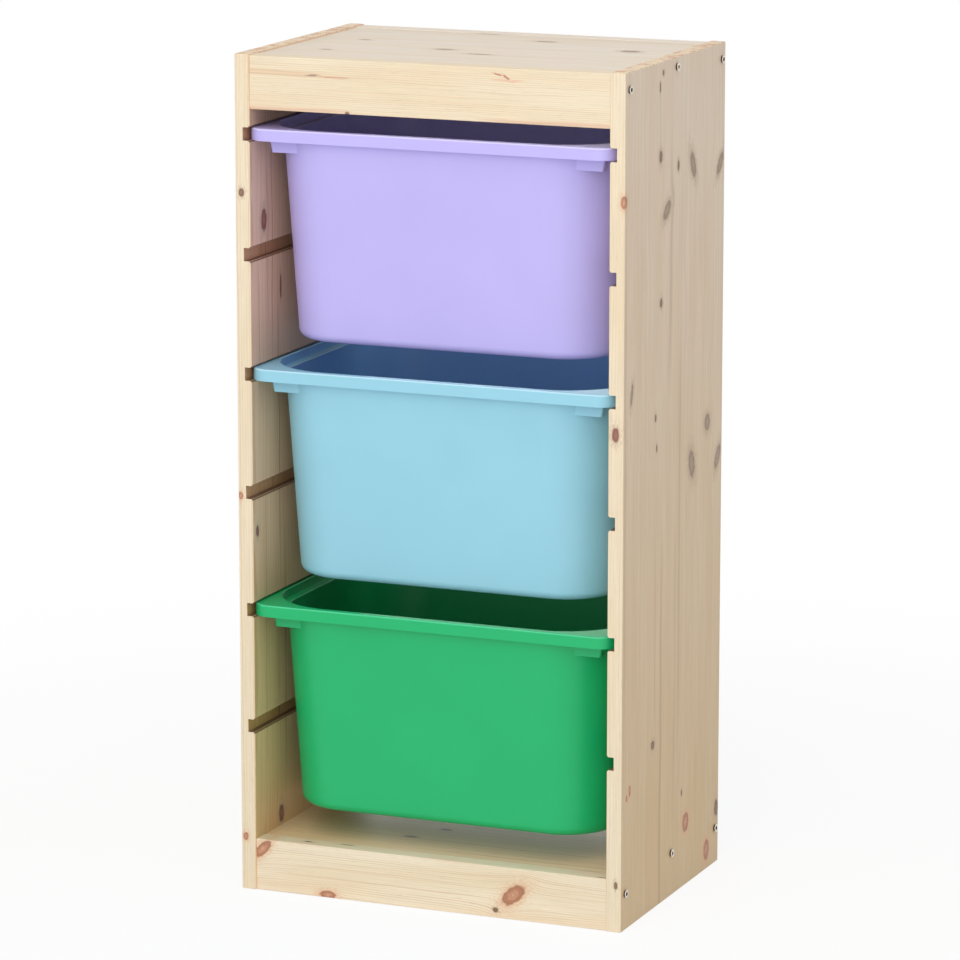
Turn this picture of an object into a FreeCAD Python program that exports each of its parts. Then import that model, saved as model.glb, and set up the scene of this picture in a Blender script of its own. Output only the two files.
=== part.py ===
import FreeCAD, Part
import math
import os
import Sketcher

# A free-standing pine frame with runner grooves, and three moulded bins that hang in the grooves by
# their rims. Millimetres. X runs left to right, Y from front to back, Z up. The origin is the middle
# of the frame's footprint, on the floor. The front is at -Y.

doc = FreeCAD.newDocument("toy_storage_organizer")
sheet = doc.addObject("Spreadsheet::Sheet", "sizes")

SIZES = [
    # the frame
    ("frame_width", 440, "outside, across both side panels"),
    ("frame_depth", 300, "front to back of a side panel"),
    ("frame_height", 910, "height of a side panel"),
    ("panel_thickness", 17, "side panel"),
    ("panel_rounding", 1, "eased edges of a side panel"),
    # the runner grooves
    ("groove_count", 6, "grooves in each side panel"),
    ("groove_drop", 84.5, "top of the panel to the centre of the first groove"),
    ("groove_rise", 183, "floor to the centre of the last groove"),
    ("groove_depth", 8, "into the panel"),
    ("groove_play", 1.2, "groove height beyond the rim's height"),
    ("groove_mouth", 1.5, "rounding of a groove's two mouth edges"),
    # rails and boards between the panels
    ("rail_height", 57, "every rail"),
    ("rail_thickness", 20, "every rail"),
    ("rail_setback", 1.5, "rails behind the panels' front and rear edges"),
    ("rail_rounding", 1, "eased long edges of a rail"),
    ("board_thickness", 17, "top and bottom board"),
    ("board_step", 0.8, "boards below the rails' top edges"),
    ("board_rounding", 0.5, "eased long edges of a board"),
    ("top_drop", 1, "top rails below the panels' top edges"),
    # screws
    ("screw_drop", 17, "rail screws below the top edge of their rail"),
    ("screw_length", 50, "whole screw"),
    ("screw_proud", 2.3, "head face outside the panel's face"),
    ("screw_head", 8.8, "head diameter"),
    ("screw_head_edge", 0.5, "upright edge of the head"),
    ("screw_cone", 1.9, "cone from the head's edge down to the neck"),
    ("screw_neck", 7, "smooth neck diameter"),
    ("screw_neck_length", 19, "head face to the first ridge"),
    ("screw_core", 4.8, "core diameter between the ridges"),
    ("screw_ridge", 6.6, "diameter over the ridges"),
    ("screw_ridge_pitch", 3, "ridge to ridge"),
    ("screw_tip", 3, "length of the point"),
    ("screw_socket", 4, "hexagon socket across its flats"),
    ("screw_socket_depth", 3, "hexagon socket"),
    ("screw_clearance", 0.2, "panel hole diameter beyond the neck"),
    ("pilot_play", 2, "pilot hole beyond the screw's point"),
    # dowels
    ("dowel_diameter", 8, "dowel"),
    ("dowel_length", 28, "dowel"),
    ("dowel_bevel", 1, "bevelled ends"),
    ("dowel_in_panel", 9, "length that stands in the side panel"),
    ("dowel_drop", 39, "dowels below the top edge of their rail"),
    ("dowel_play", 0.1, "hole diameter beyond the dowel"),
    ("dowel_end_play", 1, "hole depth beyond the dowel"),
    # bins
    ("bin_air", 27, "bottom of a bin to the rim of the bin below"),
    ("bin_wall", 2.5, "every wall"),
    ("rim_height", 13, "outer skirt of the rim"),
    ("rim_side_play", 1, "rim to the bottom of its groove, each side"),
    ("rim_end_play", 1, "rim behind the frame's front and rear edges"),
    ("rim_seat_play", 0.2, "air under the rim in its groove"),
    ("rim_corner", 24, "plan radius of the rim's corners"),
    ("rim_rounding", 2, "rounded top edge of the rim"),
    ("flange_side", 9.5, "flat of the rim beside the opening"),
    ("flange_end", 8.5, "flat of the rim in front of and behind the opening"),
    ("opening_corner", 75, "plan radius of the opening's corners"),
    ("opening_rounding", 0.8, "eased edge of the opening and the ledge"),
    ("ledge_drop", 9.5, "rim's top to the ledge inside"),
    ("ledge_side", 9.6, "ledge along the short walls"),
    ("ledge_end", 2.4, "ledge along the long walls"),
    ("body_corner", 70, "plan radius of the cavity's corners at the ledge"),
    ("body_corner_base", 56.5, "plan radius of the cavity's corners at the bottom"),
    ("side_taper", 11.5, "each short wall leans in over its height"),
    ("end_taper", 22, "each long wall leans in over its height"),
    ("base_rounding", 10, "outer edge of the bottom"),
    ("lug_setback", 20, "lug's plate behind the rim's front edge"),
    ("lug_inset", 18, "lug's outer end from the rim's side"),
    ("lug_length", 42, "lug's plate, most of it inside the body's corner"),
    ("lug_drop", 14, "lug below the rim's lower edge"),
    ("lug_slant", 4.5, "lug's outer end leans in by this"),
    ("lug_return", 10, "lug's side plate, front to back"),
    ("lug_wall", 2.2, "lug's plates"),
    ("lug_rounding", 2.6, "lug's outer corner"),
]

for row, (alias, value, meaning) in enumerate(SIZES, start=1):
    sheet.set(f"A{row}", meaning)
    sheet.set(f"B{row}", str(value))
    sheet.setAlias(f"B{row}", alias)
doc.recompute()

# Places and sizes that follow from the sheet, as expressions.
INNER_HALF = "(sizes.frame_width / 2 - sizes.panel_thickness)"
HALF_DEPTH = "(sizes.frame_depth / 2)"
BOARD_REAR = f"({HALF_DEPTH} - sizes.rail_setback - sizes.rail_thickness)"
BOARD_FRONT = f"(-{BOARD_REAR})"
RAIL_TOP = {"top": "(sizes.frame_height - sizes.top_drop)", "bottom": "sizes.rail_height"}
BOARD_TOP = {level: f"({RAIL_TOP[level]} - sizes.board_step)" for level in RAIL_TOP}
RAIL_MIDDLE = f"({BOARD_REAR} + sizes.rail_thickness / 2)"

DOWEL_Y = {"front": f"(-{RAIL_MIDDLE})", "rear": RAIL_MIDDLE}
SCREW_Y = {"front": f"(-{RAIL_MIDDLE})", "middle": "0", "rear": RAIL_MIDDLE}
GROOVE_HEIGHT = "(sizes.rim_height + sizes.groove_play)"
FIRST_GROOVE = "(sizes.frame_height - sizes.groove_drop)"
GROOVE_SPAN = f"({FIRST_GROOVE} - sizes.groove_rise)"
GROOVE_PITCH = f"({GROOVE_SPAN} / (sizes.groove_count - 1))"
PILOT_DEPTH = (
    "(sizes.screw_length - sizes.screw_proud + sizes.pilot_play - sizes.panel_thickness)"
)
SIDES = {"left": -1, "right": 1}

OVERRUN = 1  # a cut right through a piece runs on by this
SAME = 1e-6  # two lengths this near are the same
CURVED = 1e-3  # the same, for the bounds of curved edges
RIDGE_RISE, RIDGE_CREST, RIDGE_FALL = 0.3, 0.6, 0.9  # shares of the pitch from ridge to ridge

# The rim, seen from above.
RIM_X = f"({INNER_HALF} + sizes.groove_depth - sizes.rim_side_play)"
RIM_Y = f"({HALF_DEPTH} - sizes.rim_end_play)"
OPENING_X = f"({RIM_X} - sizes.flange_side)"
OPENING_Y = f"({RIM_Y} - sizes.flange_end)"
CAVITY_X = f"({OPENING_X} - sizes.ledge_side)"
CAVITY_Y = f"({OPENING_Y} - sizes.ledge_end)"
LEDGE_Z = "(sizes.rim_height - sizes.ledge_drop)"
GROOVES_PER_BIN = 2
BIN_HEIGHT = f"({GROOVES_PER_BIN} * {GROOVE_PITCH} - sizes.bin_air)"
BASE_Z = f"(sizes.rim_height - {BIN_HEIGHT})"


def screw_height(level, place):
    """Height of a screw's axis: its rail's own, or the middle of the board."""
    if place == "middle":
        return f"({BOARD_TOP[level]} - sizes.board_thickness / 2)"
    return f"({RAIL_TOP[level]} - sizes.screw_drop)"


def number(expression):
    """The value of an expression on the sheet."""
    return float(sheet.evalExpression(expression))


def new_body(label):
    body = doc.addObject("PartDesign::Body", label)
    body.Label = label
    return body


def put(body, x="0", y="0", z="0", turn=0):
    """Place a body, turned about Z by a number of degrees."""
    turned = FreeCAD.Rotation(FreeCAD.Vector(0, 0, 1), turn)
    body.Placement = FreeCAD.Placement(FreeCAD.Vector(0, 0, 0), turned)
    for axis, expression in (("x", x), ("y", y), ("z", z)):
        body.setExpression(f"Placement.Base.{axis}", expression)


def new_sketch(body, name, plane, offset="0"):
    """A sketch on one of the body's own origin planes, moved along that plane's normal."""
    sketch = body.newObject("Sketcher::SketchObject", name)
    support = next(item for item in body.Origin.OriginFeatures if item.Role == plane)
    sketch.AttachmentSupport = [(support, "")]
    sketch.MapMode = "FlatFace"
    sketch.setExpression("AttachmentOffset.Base.z", offset)
    return sketch


def same_again(label, original):
    """Another body with the shape of one that is made already."""
    body = new_body(label)
    shape = body.newObject("PartDesign::FeatureBase", "same_shape")
    shape.BaseFeature = original.Tip
    body.Tip = shape
    return body


def origin_axis(body, role):
    return next(item for item in body.Origin.OriginFeatures if item.Role == role)


def bind_point(sketch, geometry, end, corner):
    """Tie a point of the sketch to two expressions, measured from the origin."""
    for kind, expression in zip(("DistanceX", "DistanceY"), corner):
        place = Sketcher.Constraint(kind, -1, 1, geometry, end, number(expression))
        index = sketch.addConstraint(place)
        sketch.setExpression(f"Constraints[{index}]", expression)


def arc_between(start, end, radius, bulge):
    """The short arc from start to end; bulge 1 has its centre on the left, -1 on the right."""
    chord = end - start
    middle = (start + end) / 2
    left = FreeCAD.Vector(-chord.y, chord.x, 0).normalize()
    rise = math.sqrt(max(radius ** 2 - (chord.Length / 2) ** 2, 0))
    centre = middle + left * rise * bulge
    first, last = (start, end) if bulge > 0 else (end, start)
    angle_1 = math.atan2(first.y - centre.y, first.x - centre.x)
    angle_2 = math.atan2(last.y - centre.y, last.x - centre.x)
    circle = Part.Circle(centre, FreeCAD.Vector(0, 0, 1), radius)
    return Part.ArcOfCircle(circle, angle_1, angle_2)


def outline(sketch, corners):
    """Close a line through the corners: (x, y) or (x, y, radius, bulge) for an arc to the next."""
    points = [FreeCAD.Vector(number(c[0]), number(c[1]), 0) for c in corners]
    ends = []
    for index, corner in enumerate(corners):
        start, end = points[index], points[(index + 1) % len(points)]
        if len(corner) == 2:
            geometry = sketch.addGeometry(Part.LineSegment(start, end), False)
            ends.append((geometry, 1, 2))
            continue
        radius, bulge = corner[2], corner[3]
        arc = arc_between(start, end, number(radius), bulge)
        geometry = sketch.addGeometry(arc, False)
        ends.append((geometry, 1, 2) if bulge > 0 else (geometry, 2, 1))
        size = sketch.addConstraint(Sketcher.Constraint("Radius", geometry, number(radius)))
        sketch.setExpression(f"Constraints[{size}]", radius)
    for index, corner in enumerate(corners):
        geometry, start, end = ends[index]
        following, next_start, _ = ends[(index + 1) % len(ends)]
        sketch.addConstraint(
            Sketcher.Constraint("Coincident", geometry, end, following, next_start)
        )
        bind_point(sketch, geometry, start, corner)


def rectangle(sketch, x_low, y_low, x_high, y_high):
    outline(sketch, [(x_low, y_low), (x_high, y_low), (x_high, y_high), (x_low, y_high)])


def rounded_rectangle(sketch, half_x, half_y, radius):
    """Centred on the origin, with four equal corner arcs."""
    x_flat, y_flat = f"({half_x} - ({radius}))", f"({half_y} - ({radius}))"
    outline(sketch, [
        (half_x, f"-{y_flat}"),
        (half_x, y_flat, radius, 1),
        (x_flat, half_y),
        (f"-{x_flat}", half_y, radius, 1),
        (f"-({half_x})", y_flat),
        (f"-({half_x})", f"-{y_flat}", radius, 1),
        (f"-{x_flat}", f"-({half_y})"),
        (x_flat, f"-({half_y})", radius, 1),
    ])


def circles(sketch, centres, diameter):
    for centre in centres:
        middle = FreeCAD.Vector(number(centre[0]), number(centre[1]), 0)
        radius = f"({diameter}) / 2"
        ring = Part.Circle(middle, FreeCAD.Vector(0, 0, 1), number(radius))
        geometry = sketch.addGeometry(ring, False)
        size = sketch.addConstraint(Sketcher.Constraint("Radius", geometry, number(radius)))
        sketch.setExpression(f"Constraints[{size}]", radius)
        bind_point(sketch, geometry, 3, centre)


def solid_feature(body, kind, name, sketch, length=None, reverse=False, symmetric=False):
    """A pad or pocket of one sketch."""
    feature = body.newObject(f"PartDesign::{kind}", name)
    feature.Profile = sketch
    if length is not None:
        feature.setExpression("Length", length)
    feature.Reversed = reverse
    if symmetric:
        feature.SideType = "Symmetric"
    doc.recompute()
    return feature


def must_cut(feature, before):
    """A cut that points away from the solid would leave its volume as it was."""
    if feature.Shape.Volume >= before - SAME:
        raise RuntimeError(f"{feature.Label} cuts nothing")


def cut(body, name, sketch, length, reverse=False, symmetric=False):
    before = body.Tip.Shape.Volume
    feature = solid_feature(body, "Pocket", name, sketch, length, reverse, symmetric)
    must_cut(feature, before)
    return feature


def edges_where(shape, test):
    return [f"Edge{i}" for i, edge in enumerate(shape.Edges, start=1) if test(edge)]


def soften(body, kind, name, size, test):
    """Fillet or chamfer the edges of the body's last feature that pass the test."""
    base = body.Tip
    chosen = edges_where(base.Shape, test)
    feature = body.newObject(f"PartDesign::{kind}", name)
    feature.Base = (base, chosen)
    feature.setExpression("Radius" if kind == "Fillet" else "Size", size)
    doc.recompute()
    return feature


def along(edge, axis):
    """Whether an edge is a straight line along one axis."""
    low, high = edge.Vertexes[0].Point, edge.Vertexes[-1].Point
    others = [i for i in range(3) if i != axis]
    return len(edge.Vertexes) == 2 and all(abs(low[i] - high[i]) < SAME for i in others)


def level_edge(edge, height):
    """Whether a whole edge lies at one height."""
    box = edge.BoundBox
    return abs(box.ZMin - height) < SAME and abs(box.ZMax - height) < SAME


# Side panels: a board with eased edges, runner grooves, screw holes and dowel holes.
# Its own origin is on the inner face at the floor; side is -1 for the left panel and 1 for the right.


def panel_board(body, side):
    section = new_sketch(body, "panel_section", "XY_Plane")
    low, high = ("0", "sizes.panel_thickness") if side > 0 else ("-sizes.panel_thickness", "0")
    rectangle(section, low, f"-{HALF_DEPTH}", high, HALF_DEPTH)
    solid_feature(body, "Pad", "panel_board", section, "sizes.frame_height")
    soften(body, "Fillet", "panel_edges", "sizes.panel_rounding", lambda edge: True)


def runner_grooves(body, side):
    """One groove with a rounded mouth, repeated down the panel."""
    profile = new_sketch(body, "groove_profile", "XZ_Plane")
    mouth, deep = f"{side} * sizes.groove_mouth", f"{side} * sizes.groove_depth"
    ceiling = f"({FIRST_GROOVE} + {GROOVE_HEIGHT} / 2)"
    floor = f"({FIRST_GROOVE} - {GROOVE_HEIGHT} / 2)"
    outline(profile, [
        ("0", f"{floor} - sizes.groove_mouth", "sizes.groove_mouth", side),
        (mouth, floor),
        (deep, floor),
        (deep, ceiling),
        (mouth, ceiling, "sizes.groove_mouth", side),
        ("0", f"{ceiling} + sizes.groove_mouth"),
    ])
    groove = cut(body, "runner_groove", profile, f"sizes.frame_depth + 2 * {OVERRUN}", symmetric=True)
    pattern = body.newObject("PartDesign::LinearPattern", "runner_grooves")
    pattern.Originals = [groove]
    pattern.Direction = (origin_axis(body, "Z_Axis"), [""])
    pattern.Reversed = True
    pattern.setExpression("Length", GROOVE_SPAN)
    pattern.setExpression("Occurrences", "sizes.groove_count")
    body.Tip = pattern
    doc.recompute()


def panel_screw_holes(body, side):
    """Straight clearance holes, on whose outer edges the cones of the heads come to rest."""
    face = new_sketch(body, "panel_screw_centres", "YZ_Plane")
    centres = [(SCREW_Y[place], screw_height(level, place)) for level in RAIL_TOP for place in SCREW_Y]
    circles(face, centres, "sizes.screw_neck + sizes.screw_clearance")
    cut(body, "panel_screw_holes", face, f"sizes.panel_thickness + {OVERRUN}", side > 0)


def panel_dowel_holes(body, side):
    face = new_sketch(body, "panel_dowel_centres", "YZ_Plane")
    circles(face, dowel_centres(RAIL_TOP), "sizes.dowel_diameter + sizes.dowel_play")
    cut(body, "panel_dowel_holes", face, "sizes.dowel_in_panel + sizes.dowel_end_play", side > 0)


def dowel_height(level):
    return f"({RAIL_TOP[level]} - sizes.dowel_drop)"


def dowel_centres(levels):
    return [(DOWEL_Y[place], dowel_height(level)) for level in levels for place in DOWEL_Y]


def side_panel(name, side):
    body = new_body(f"{name}_side_panel")
    panel_board(body, side)
    runner_grooves(body, side)
    panel_screw_holes(body, side)
    panel_dowel_holes(body, side)
    put(body, x=f"{side} * {INNER_HALF}")
    return body


# Rails and boards: a sawn section as long as the space between the panels, drilled at both ends.
# Their own origin is in the middle of the section's length, at the object's origin.


def drill_ends(body, name, centres, diameter, depth):
    """The same blind holes in both ends."""
    for end, side in SIDES.items():
        face = new_sketch(body, f"{name}_centres_{end}", "YZ_Plane", f"{side} * {INNER_HALF}")
        circles(face, centres, diameter)
        cut(body, f"{name}_{end}", face, depth, reverse=side < 0)


def bar(label, front, rear, low, high, rounding, screw_at, dowel_at):
    body = new_body(label)
    section = new_sketch(body, "section", "YZ_Plane")
    rectangle(section, front, low, rear, high)
    solid_feature(body, "Pad", "sawn_length", section, f"2 * {INNER_HALF}", symmetric=True)
    soften(body, "Fillet", "eased_edges", rounding, lambda edge: along(edge, 0))
    drill_ends(body, "pilot_hole", [screw_at], "sizes.screw_core", PILOT_DEPTH)
    if dowel_at:
        depth = "sizes.dowel_length - sizes.dowel_in_panel + sizes.dowel_end_play"
        drill_ends(body, "dowel_hole", [dowel_at], "sizes.dowel_diameter + sizes.dowel_play", depth)
    put(body)
    return body


def rail(level, place):
    if place == "front":
        front, rear = f"(sizes.rail_setback - {HALF_DEPTH})", BOARD_FRONT
    else:
        front, rear = BOARD_REAR, f"({HALF_DEPTH} - sizes.rail_setback)"
    high = RAIL_TOP[level]
    low = f"({high} - sizes.rail_height)"
    screw_at = (SCREW_Y[place], screw_height(level, place))
    dowel_at = (DOWEL_Y[place], dowel_height(level))
    label = f"{level}_{place}_rail"
    return bar(label, front, rear, low, high, "sizes.rail_rounding", screw_at, dowel_at)


def board(level):
    high = BOARD_TOP[level]
    low = f"({high} - sizes.board_thickness)"
    screw_at = (SCREW_Y["middle"], screw_height(level, "middle"))
    label = f"{level}_board"
    return bar(label, BOARD_FRONT, BOARD_REAR, low, high, "sizes.board_rounding", screw_at, None)


# Screws: their own origin is in the middle of the head's face, and the shank runs along -X.


def screw_profile():
    """Half the length section: head, cone, neck, ridges and point."""
    corners = [
        ("0", "0"),
        ("0", "sizes.screw_head / 2"),
        ("-sizes.screw_head_edge", "sizes.screw_head / 2"),
        ("-(sizes.screw_head_edge + sizes.screw_cone)", "sizes.screw_neck / 2"),
        ("-sizes.screw_neck_length", "sizes.screw_neck / 2"),
        ("-sizes.screw_neck_length", "sizes.screw_core / 2"),
    ]
    shank_end = "(sizes.screw_tip - sizes.screw_length)"
    room = number(f"-sizes.screw_neck_length - {shank_end}")
    for ridge in range(int(room / number("sizes.screw_ridge_pitch"))):
        start = f"(sizes.screw_neck_length + {ridge} * sizes.screw_ridge_pitch"
        corners += [
            (f"-{start} + {RIDGE_RISE} * sizes.screw_ridge_pitch)", "sizes.screw_core / 2"),
            (f"-{start} + {RIDGE_CREST} * sizes.screw_ridge_pitch)", "sizes.screw_ridge / 2"),
            (f"-{start} + {RIDGE_FALL} * sizes.screw_ridge_pitch)", "sizes.screw_core / 2"),
        ]
    return corners + [(shank_end, "sizes.screw_core / 2"), ("-sizes.screw_length", "0")]


def turned(body, name, profile):
    """A solid turned about X from half its length section."""
    section = new_sketch(body, f"{name}_section", "XY_Plane")
    outline(section, profile)
    feature = body.newObject("PartDesign::Revolution", name)
    feature.Profile = section
    feature.ReferenceAxis = (origin_axis(body, "X_Axis"), [""])
    feature.Angle = 360
    doc.recompute()


def screw(label):
    body = new_body(label)
    turned(body, "turned_screw", screw_profile())
    face = new_sketch(body, "socket_outline", "YZ_Plane")
    corner_radius = "(sizes.screw_socket / sqrt(3))"
    hexagon = [(f"{corner_radius} * cos({60 * i})", f"{corner_radius} * sin({60 * i})") for i in range(6)]
    outline(face, hexagon)
    cut(body, "hexagon_socket", face, "sizes.screw_socket_depth")
    return body


# Dowels: their own origin is in the middle of the end in the side panel, and they run along -X.


def dowel(label):
    body = new_body(label)
    radius, bevel, length = "(sizes.dowel_diameter / 2)", "sizes.dowel_bevel", "sizes.dowel_length"
    turned(body, "turned_dowel", [
        ("0", "0"),
        ("0", f"{radius} - {bevel}"),
        (f"-{bevel}", radius),
        (f"{bevel} - {length}", radius),
        (f"-{length}", f"{radius} - {bevel}"),
        (f"-{length}", "0"),
    ])
    return body


# Bins: one moulded shell. Its own origin is in the middle of the rim's lower edge, so the rim stands
# on z = 0 and the body hangs below it.


def rim(body):
    """The outer skirt and the flat flange on it."""
    skirt = new_sketch(body, "skirt_outline", "XY_Plane")
    rounded_rectangle(skirt, RIM_X, RIM_Y, "sizes.rim_corner")
    inner = "sizes.rim_corner - sizes.bin_wall"
    rounded_rectangle(skirt, f"({RIM_X} - sizes.bin_wall)", f"({RIM_Y} - sizes.bin_wall)", inner)
    solid_feature(body, "Pad", "skirt", skirt, "sizes.rim_height")
    flange = new_sketch(body, "flange_outline", "XY_Plane", "sizes.rim_height - sizes.bin_wall")
    rounded_rectangle(flange, RIM_X, RIM_Y, "sizes.rim_corner")
    solid_feature(body, "Pad", "flange", flange, "sizes.bin_wall")
    top = number("sizes.rim_height")
    soften(body, "Fillet", "rim_edge", "sizes.rim_rounding", lambda edge: level_edge(edge, top))


def collar(body):
    """The upright wall round the opening, down to the underside of the ledge."""
    sketch = new_sketch(body, "collar_outline", "XY_Plane", f"{LEDGE_Z} - sizes.bin_wall")
    wide, deep = f"({OPENING_X} + sizes.bin_wall)", f"({OPENING_Y} + sizes.bin_wall)"
    rounded_rectangle(sketch, wide, deep, "sizes.opening_corner + sizes.bin_wall")
    into_flange = "sizes.bin_wall / 2"
    height = f"sizes.rim_height - {LEDGE_Z} + {into_flange}"
    solid_feature(body, "Pad", "collar", sketch, height)


def tapered(body, kind, name, grow, low, high):
    """A tapered block or hollow between the bottom and the ledge, grown by a wall on all sides."""
    top = new_sketch(body, f"{name}_top", "XY_Plane", high)
    wide, deep = f"({CAVITY_X} + {grow})", f"({CAVITY_Y} + {grow})"
    rounded_rectangle(top, wide, deep, f"sizes.body_corner + {grow}")
    base = new_sketch(body, f"{name}_base", "XY_Plane", low)
    base_wide = f"({CAVITY_X} - sizes.side_taper + {grow})"
    base_deep = f"({CAVITY_Y} - sizes.end_taper + {grow})"
    rounded_rectangle(base, base_wide, base_deep, f"sizes.body_corner_base + {grow}")
    doc.recompute()
    loft = body.newObject(f"PartDesign::{kind}", name)
    loft.Profile = top
    loft.Sections = [base]
    loft.Ruled = True
    doc.recompute()
    return loft


def lug(body, x_side, y_side):
    """A plate under the rim's corner with a short return along the side."""
    plane = f"{-y_side} * ({RIM_Y} - sizes.lug_setback)"
    top, low = "(sizes.rim_height - sizes.bin_wall)", "(-sizes.lug_drop)"
    end = f"({RIM_X} - sizes.lug_inset)"
    plates = {
        "plate": ("sizes.lug_length", "sizes.lug_wall"),
        "return": ("sizes.lug_wall", "sizes.lug_return"),
    }
    for part, (length, depth) in plates.items():
        name = f"lug_{part}_{'right' if x_side > 0 else 'left'}_{'rear' if y_side > 0 else 'front'}"
        sketch = new_sketch(body, f"{name}_outline", "XZ_Plane", plane)
        outline(sketch, [
            (f"{x_side} * ({end} - {length})", top),
            (f"{x_side} * ({end} - sizes.lug_slant - {length})", low),
            (f"{x_side} * ({end} - sizes.lug_slant)", low),
            (f"{x_side} * {end}", top),
        ])
        solid_feature(body, "Pad", name, sketch, depth, reverse=y_side < 0)


def round_lugs(body):
    """Round the upright corner between each lug's plate and its return."""
    plane, bottom = number(f"{RIM_Y} - sizes.lug_setback"), number("-sizes.lug_drop")
    end, slant = number(f"{RIM_X} - sizes.lug_inset"), number("sizes.lug_slant")
    half_drop = number("sizes.lug_drop / 2")

    def outer_corner(edge):
        box = edge.BoundBox
        upright = box.ZMax - box.ZMin > half_drop and abs(box.ZMin - bottom) < SAME
        in_plane = abs(abs(box.YMin) - plane) < SAME and box.YMax - box.YMin < SAME
        low_x = min(abs(box.XMin), abs(box.XMax))
        return upright and in_plane and abs(low_x - (end - slant)) < SAME

    soften(body, "Fillet", "lug_corners", "sizes.lug_rounding", outer_corner)


def hollow(body):
    """The opening, the ledge and the tapered cavity with its rounded floor."""
    opening = new_sketch(body, "opening_outline", "XY_Plane", "sizes.rim_height")
    rounded_rectangle(opening, OPENING_X, OPENING_Y, "sizes.opening_corner")
    cut(body, "opening", opening, "sizes.ledge_drop")
    before = body.Tip.Shape.Volume
    floor = f"({BASE_Z} + sizes.bin_wall)"
    cavity = tapered(body, "SubtractiveLoft", "cavity", "0", floor, LEDGE_Z)
    must_cut(cavity, before)
    floor_height, base = number(floor), number(BASE_Z)
    inner_rounding = "sizes.base_rounding - sizes.bin_wall"
    soften(body, "Fillet", "floor_edge", inner_rounding, lambda edge: level_edge(edge, floor_height))
    soften(body, "Fillet", "base_edge", "sizes.base_rounding", lambda edge: level_edge(edge, base))
    top, ledge = number("sizes.rim_height"), number(LEDGE_Z)
    half_x, half_y = number(OPENING_X), number(OPENING_Y)

    def inner_rim(edge):
        box = edge.BoundBox
        inside = max(abs(box.XMin), abs(box.XMax)) < half_x + CURVED
        inside = inside and max(abs(box.YMin), abs(box.YMax)) < half_y + CURVED
        return inside and level_edge(edge, top)

    soften(body, "Fillet", "opening_edge", "sizes.opening_rounding", inner_rim)
    cavity_x, cavity_y = number(CAVITY_X), number(CAVITY_Y)

    def ledge_edge(edge):
        box = edge.BoundBox
        inside = max(abs(box.XMin), abs(box.XMax)) < cavity_x + CURVED
        inside = inside and max(abs(box.YMin), abs(box.YMax)) < cavity_y + CURVED
        return inside and level_edge(edge, ledge)

    soften(body, "Fillet", "ledge_edge", "sizes.opening_rounding", ledge_edge)


def storage_bin(label):
    body = new_body(label)
    rim(body)
    collar(body)
    tapered(body, "AdditiveLoft", "bin_body", "sizes.bin_wall", BASE_Z, LEDGE_Z)
    for x_side in (-1, 1):
        for y_side in (-1, 1):
            lug(body, x_side, y_side)
    round_lugs(body)
    hollow(body)
    return body


# Pieces that are all alike are made once, and the others take their shape from the first.


def fastenings(make, ends, x_outer):
    """One screw or dowel at each place, on both sides, with its outer end at the same x."""
    placed = []
    for side_name, side in SIDES.items():
        for name, (y, z) in ends.items():
            label = f"{name}_{side_name}"
            piece = same_again(label, placed[0]) if placed else make(label)
            put(piece, f"{side} * {x_outer}", y, z, 0 if side > 0 else 180)
            placed.append(piece)
    return placed


def all_screws():
    ends = {
        f"{level}_{place}_screw": (SCREW_Y[place], screw_height(level, place))
        for level in RAIL_TOP for place in SCREW_Y
    }
    return fastenings(screw, ends, "(sizes.frame_width / 2 + sizes.screw_proud)")


def all_dowels():
    ends = {
        f"{level}_{place}_dowel": (DOWEL_Y[place], dowel_height(level))
        for level in RAIL_TOP for place in DOWEL_Y
    }
    return fastenings(dowel, ends, f"({INNER_HALF} + sizes.dowel_in_panel)")


def all_bins():
    """From the top down, each in the next groove but one."""
    placed = []
    for index, label in enumerate(("upper_bin", "middle_bin", "lower_bin")):
        piece = same_again(label, placed[0]) if placed else storage_bin(label)
        floor = f"({FIRST_GROOVE} - {index * GROOVES_PER_BIN} * {GROOVE_PITCH} - {GROOVE_HEIGHT} / 2)"
        put(piece, z=f"{floor} + sizes.rim_seat_play")
        placed.append(piece)
    return placed


nodes = [side_panel(name, side) for name, side in SIDES.items()]
nodes += [board(level) for level in RAIL_TOP]
nodes += [rail(level, place) for level in RAIL_TOP for place in DOWEL_Y]
nodes += all_screws() + all_dowels() + all_bins()
doc.recompute()

for item in doc.Objects:
    if {"Invalid", "Error"} & set(item.State):
        raise RuntimeError(f"{item.Label} failed: {item.State}")
for node in nodes:
    if node.Shape.isNull() or not node.Shape.isValid() or len(node.Shape.Solids) != 1:
        raise RuntimeError(f"{node.Label} isn't one valid solid")

os.makedirs("parts", exist_ok=True)
for node in nodes:
    node.Shape.exportStep(f"parts/{node.Label}.step")
    box = node.Shape.BoundBox
    size = f"{box.XLength:.1f} x {box.YLength:.1f} x {box.ZLength:.1f} mm"
    print(f"{node.Label}: {size}, {node.Shape.Volume / 1000:.1f} cm3")
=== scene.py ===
# %% [markdown]
# # A pine storage frame with three pull-out bins
#
# The real object is a narrow open frame: two pine side panels with runner grooves, joined by boards and
# rails at the top and the bottom. Three moulded plastic bins hang in the grooves by their rims. The packed
# model gives every piece its exact shape, so this scene adds what a photograph adds: wood, plastic, steel,
# light and a camera.

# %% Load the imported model
import math

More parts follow.
